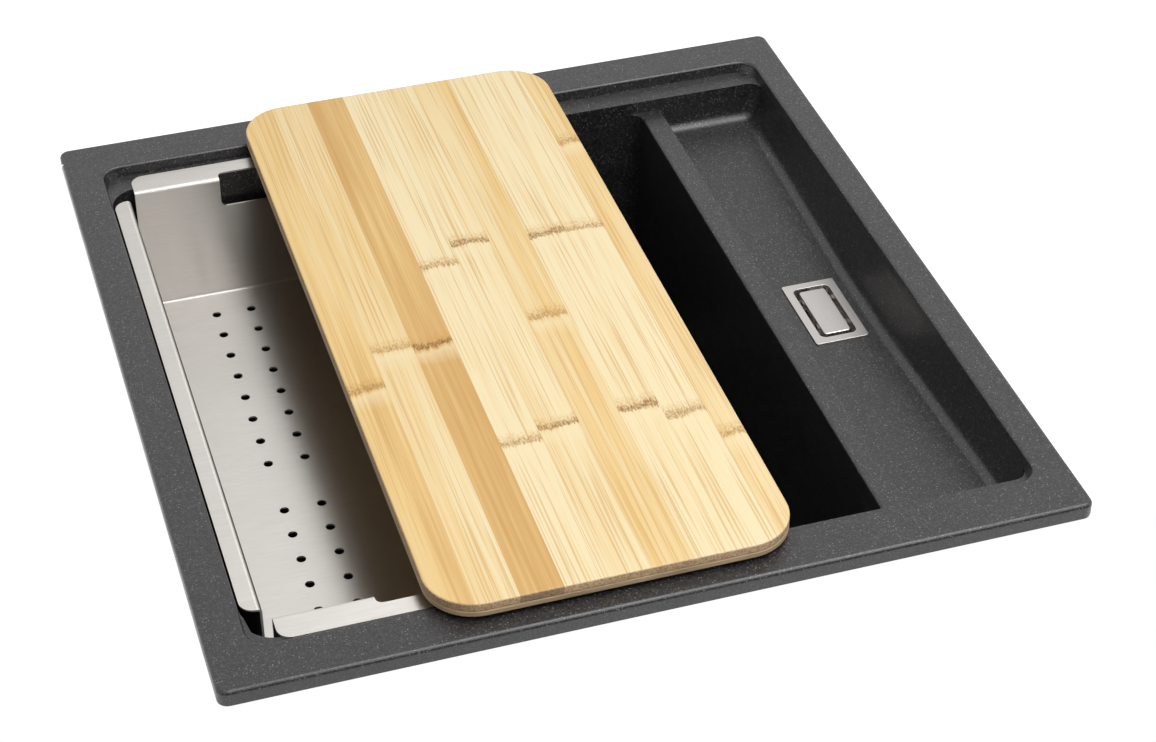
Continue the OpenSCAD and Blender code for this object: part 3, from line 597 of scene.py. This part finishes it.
def makeLowerPly():
    p = lowerPlyFinish
    paint, tree, shader, place = newFinish("bambooLower", p["gloss"])
    pores = noise(tree, place, **p["pores"])
    cloud = noise(tree, place, p["cloudScale"])
    poreShare = calculate(tree, "MULTIPLY", pores, p["poreShare"])
    mixed = calculate(tree, "MULTIPLY_ADD", cloud, p["cloudShare"], poreShare)
    tint = ramp(tree, mixed, list(zip(p["stops"], (p["low"], p["high"]))))
    tree.links.new(tint, shader.inputs["Base Color"])
    bump(tree, shader, pores, p["relief"], p["depth"])
    return paint


finishes = {
    "granite": makeGranite(),
    "bamboo": makeBamboo(),
    "bambooLower": makeLowerPly(),
    "tray": makeBrushedSteel(trayFinish),
    "trim": makeBrushedSteel(trimFinish),
    "zinc": makePlain(zincFinish),
    "plastic": makePlain(plasticFinish),
    "seal": makePlain(sealFinish),
    "pad": makePlain(padFinish),
}
print("finishes are made")

softEdge = {"steps": 2, "angle": 28.0, "flatWeight": 70, "merge": 2e-6, "flatWithin": 0.6}


def keepEvaluated(piece):
    # turns the piece into the plain mesh that its modifiers make
    before = piece.data
    bpy.context.view_layer.update()
    graph = bpy.context.evaluated_depsgraph_get()
    made = bpy.data.meshes.new_from_object(piece.evaluated_get(graph))
    piece.modifiers.clear()
    piece.data = made
    bpy.data.meshes.remove(before)
    made.name = piece.name


def finishShading(piece):
    # flat faces keep flat light beside the soft edges
    piece.data.shade_smooth()
    piece.data.set_sharp_from_angle(angle=math.radians(softEdge["angle"]))
    weigh = piece.modifiers.new("evenNormals", "WEIGHTED_NORMAL")
    weigh.keep_sharp = True
    weigh.weight = softEdge["flatWeight"]
    keepEvaluated(piece)


endWall = {
    "ledgeHeight": 0.003,
    "corner": 0.012,
    "footFrom": 0.2205,
    "footTo": 0.2242,
    "start": 0.2087,  # the ledge's own edge, up to here, stays
}


def steepenEndWalls(shape):
    # the opening's end walls stand almost upright over the ledges, so their foot moves outwards
    w = endWall
    straight = w["footFrom"] - w["corner"]
    for vertex in shape.verts:
        y, z = vertex.co.y, vertex.co.z
        if abs(z - w["ledgeHeight"]) < hair and w["start"] < abs(y) < w["footFrom"] + slack:
            share = (abs(y) - straight) / w["corner"]
            vertex.co.y += math.copysign(share * (w["footTo"] - w["footFrom"]), y)


# the wall below the ledge moves with it, down to a depth of its own at each stretch
frontLedge = {
    "edge": 0.2085,
    "left": -0.2165,
    "right": 0.219,
    "corner": 0.008,
    "forward": 0.0082,
    "roundOver": 0.0035,
    "divider": 0.1345,  # where the divider starts, and below where the shelf does
    "shelf": 0.1495,
    "bowlLow": -0.001,
    "dividerLow": -0.0095,
    "shelfLow": -0.0235,
}


def narrowFrontLedge(shape):
    # the rim hides the whole front ledge in the photograph, so its edge stands further forward
    f = frontLedge
    for vertex in shape.verts:
        x, y, z = vertex.co
        lowest = f["bowlLow"]
        if x > f["divider"]:
            lowest = f["shelfLow"] if x > f["shelf"] else f["dividerLow"]
        reach = f["edge"] + (f["roundOver"] if z > f["bowlLow"] else slack / 2)
        if x < f["left"] + f["corner"] - hair or x > f["right"] - f["corner"] + hair:
            reach = f["edge"] - slack / 2
        behind = f["edge"] - f["corner"] - slack < -y < reach
        beside = f["left"] - slack < x < f["right"] + slack
        if behind and beside and lowest < z < endWall["ledgeHeight"] + hair:
            vertex.co.y -= f["forward"]


bowlCorner = {
    "edge": 0.133,
    "end": 0.2085,
    "radius": 0.018,
    "tightRadius": 0.008,
    "right": 0.0025,
    "forward": 0.0068,
    "top": -0.0085,
    "below": 0.0002,
    "above": 0.0035,
    "roundOver": 0.0032,
}


def tightenBowlCorners(shape):
    # the bowl's two corners at the divider turn more tightly where they meet its top
    c = bowlCorner
    middle = (c["edge"] - c["radius"], c["end"] - c["radius"])
    outward = c["radius"] - c["tightRadius"]
    for vertex in shape.verts:
        x, y, z = vertex.co
        if not c["top"] - c["below"] < z < c["top"] + c["above"]:
            continue
        side = math.copysign(1, y)
        forward = c["forward"] if side < 0 else 0.0
        dx, dy = x - middle[0], abs(y) - middle[1]
        if dx > hair and dy > hair and abs(math.hypot(dx, dy) - c["radius"]) < slack:
            vertex.co.x += outward * (1 - dx / c["radius"]) + c["right"] * dx / c["radius"]
            vertex.co.y += side * outward * (1 - dy / c["radius"]) - forward
        elif abs(y) < middle[1] + hair and c["edge"] - slack < x < c["edge"] + c["roundOver"]:
            vertex.co.x += c["right"]
            if abs(dy) < hair:
                vertex.co.y += side * outward - forward


def dressedCopy(nodeName, body, finish, slotName, soften):
    shape = bmesh.new()
    shape.from_mesh(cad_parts[nodeName].data)
    bmesh.ops.remove_doubles(shape, verts=shape.verts[:], dist=softEdge["merge"])
    if nodeName == "sink_body":
        steepenEndWalls(shape)
        narrowFrontLedge(shape)
        tightenBowlCorners(shape)
    if soften:
        bmesh.ops.dissolve_limit(
            shape,
            angle_limit=math.radians(softEdge["flatWithin"]),
            verts=shape.verts[:],
            edges=shape.edges[:],
        )
    mesh = bpy.data.meshes.new(nodeName + "Dressed")
    shape.to_mesh(mesh)
    shape.free()
    piece = addObject(nodeName + "Dressed", mesh)
    mesh.materials.clear()
    mesh.materials.append(finishes[finish])
    if soften:
        edge = piece.modifiers.new("softEdge", "BEVEL")
        edge.width = soften
        edge.segments = softEdge["steps"]
        edge.limit_method = "ANGLE"
        edge.angle_limit = math.radians(softEdge["angle"])
        edge.use_clamp_overlap = True
    finishShading(piece)
    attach(piece, body)
    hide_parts(nodeName)


# solid, body, finish, slot, and the width of its softened edges
dressPlan = [
    ("sink_body", "sink", "granite", "composite", 0.0012),
    ("rim_seal", "sink", "seal", "seal_rubber", 0.0),
    ("board_upper_ply", "board", "bamboo", "bamboo", 0.0008),
    ("board_lower_ply", "board", "bambooLower", "bamboo_lower", 0.0006),
    ("colander_tray", "tray", "tray", "tray_steel", 0.0002),
    ("overflow_frame", "sink", "trim", "fitting_steel", 0.0008),
    ("overflow_seal", "sink", "seal", "seal_rubber", 0.0),
    ("overflow_screw", "sink", "trim", "fitting_steel", 0.0002),
    ("overflow_housing", "sink", "plastic", "white_plastic", 0.0005),
    ("housing_gasket", "sink", "seal", "seal_rubber", 0.0),
    ("overflow_cover", "cover", "trim", "fitting_steel", 0.0007),
    ("cover_spring", "cover", "trim", "fitting_steel", 0.0),
    ("overflow_pipe", "sink", "plastic", "white_plastic", 0.0),
    ("pipe_nut_upper", "sink", "plastic", "white_plastic", 0.0005),
    ("pipe_nut_lower", "sink", "plastic", "white_plastic", 0.0005),
    ("pipe_washer_upper", "sink", "seal", "seal_rubber", 0.0),
    ("pipe_washer_lower", "sink", "seal", "seal_rubber", 0.0),
    ("waste_dish", "sink", "trim", "fitting_steel", 0.0003),
    ("dish_gasket", "sink", "seal", "seal_rubber", 0.0),
    ("waste_gasket", "sink", "seal", "seal_rubber", 0.0),
    ("waste_body", "sink", "plastic", "white_plastic", 0.0005),
    ("waste_screw", "sink", "trim", "fitting_steel", 0.0),
    ("strainer_basket", "basket", "trim", "fitting_steel", 0.0),
    ("basket_knob", "basket", "trim", "fitting_steel", 0.0004),
    ("basket_seal", "basket", "seal", "seal_rubber", 0.0),
    ("outlet_nut", "sink", "plastic", "white_plastic", 0.0005),
    ("outlet_washer", "sink", "seal", "seal_rubber", 0.0),
]
dressPlan += [("board_foot_%d" % i, "board", "pad", "foot_rubber", 0.0) for i in range(1, 5)]
dressPlan += [("fixing_clip_%d" % i, "sink", "zinc", "plated_steel", 0.0003) for i in range(1, 5)]
dressPlan += [("clamp_screw_%d" % i, "sink", "zinc", "plated_steel", 0.0) for i in range(1, 5)]

for row in dressPlan:
    dressedCopy(*row)
print("the solid model's pieces are dressed")


def makeThreadTree():
    # a four-sided ridge wound round each place, for the threads that the solids leave plain
    tree = bpy.data.node_groups.new("screwThread", "GeometryNodeTree")
    offered = {}
    for name, kind in (
        ("Places", "Geometry"), ("Radius", "Float"), ("Wire", "Float"), ("Length", "Float"),
        ("Turns", "Float"), ("Detail", "Int"), ("Finish", "Material"),
    ):
        offered[name] = tree.interface.new_socket(
            name=name, in_out="INPUT", socket_type="NodeSocket" + kind
        ).identifier
    tree.interface.new_socket(name="Thread", in_out="OUTPUT", socket_type="NodeSocketGeometry")
    given = addNode(tree, "NodeGroupInput").outputs
    helix = addNode(tree, "GeometryNodeCurveSpiral", {
        "Resolution": given["Detail"], "Rotations": given["Turns"], "Height": given["Length"],
        "Start Radius": given["Radius"], "End Radius": given["Radius"],
    })
    section = addNode(tree, "GeometryNodeCurvePrimitiveCircle", {
        "Resolution": 4, "Radius": given["Wire"],
    })
    ridge = addNode(tree, "GeometryNodeCurveToMesh", {
        "Curve": helix.outputs[0], "Profile Curve": section.outputs[0], "Fill Caps": True,
    })
    spread = addNode(tree, "GeometryNodeInstanceOnPoints", {
        "Points": given["Places"], "Instance": ridge.outputs[0],
    })
    solid = addNode(tree, "GeometryNodeRealizeInstances", {"Geometry": spread.outputs[0]})
    painted = addNode(tree, "GeometryNodeSetMaterial", {
        "Geometry": solid.outputs[0], "Material": given["Finish"],
    })
    addNode(tree, "NodeGroupOutput", {"Thread": painted.outputs[0]})
    return tree, offered


clampThread = {
    "radius": 0.0025,
    "wire": 0.00042,
    "pitch": 0.0013,
    "foot": -0.0582,
    "length": 0.0256,
    "detail": 20,
    "spots": [(x, y) for x in (-0.12, 0.12) for y in (-0.249, 0.249)],
}
outletThread = {
    "radius": 0.024,
    "wire": 0.0007,
    "pitch": 0.0021,
    "foot": -0.2784,
    "length": 0.0145,
    "detail": 56,
    "spots": [(-0.042, 0)],
}


def cutThreads(name, size, finish):
    mesh = bpy.data.meshes.new(name)
    mesh.from_pydata([(x, y, size["foot"]) for x, y in size["spots"]], [], [])
    piece = addObject(name, mesh)
    thread = piece.modifiers.new("thread", "NODES")
    thread.node_group = threadTree
    for key, value in (
        ("Radius", size["radius"]), ("Wire", size["wire"]), ("Length", size["length"]),
        ("Turns", size["length"] / size["pitch"]), ("Detail", size["detail"]),
        ("Finish", finishes[finish]),
    ):
        thread[threadInputs[key]] = value
    keepEvaluated(piece)
    made = piece.data
    made.materials.clear()
    made.materials.append(finishes[finish])
    shape = bmesh.new()
    shape.from_mesh(made)
    for face in shape.faces:
        face.material_index = 0
    bmesh.ops.recalc_face_normals(shape, faces=shape.faces[:])
    shape.to_mesh(made)
    shape.free()
    finishShading(piece)
    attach(piece, "sink")


threadTree, threadInputs = makeThreadTree()
cutThreads("clampThreads", clampThread, "zinc")
cutThreads("outletThread", outletThread, "plastic")
print("the screws and the outlet have their threads")
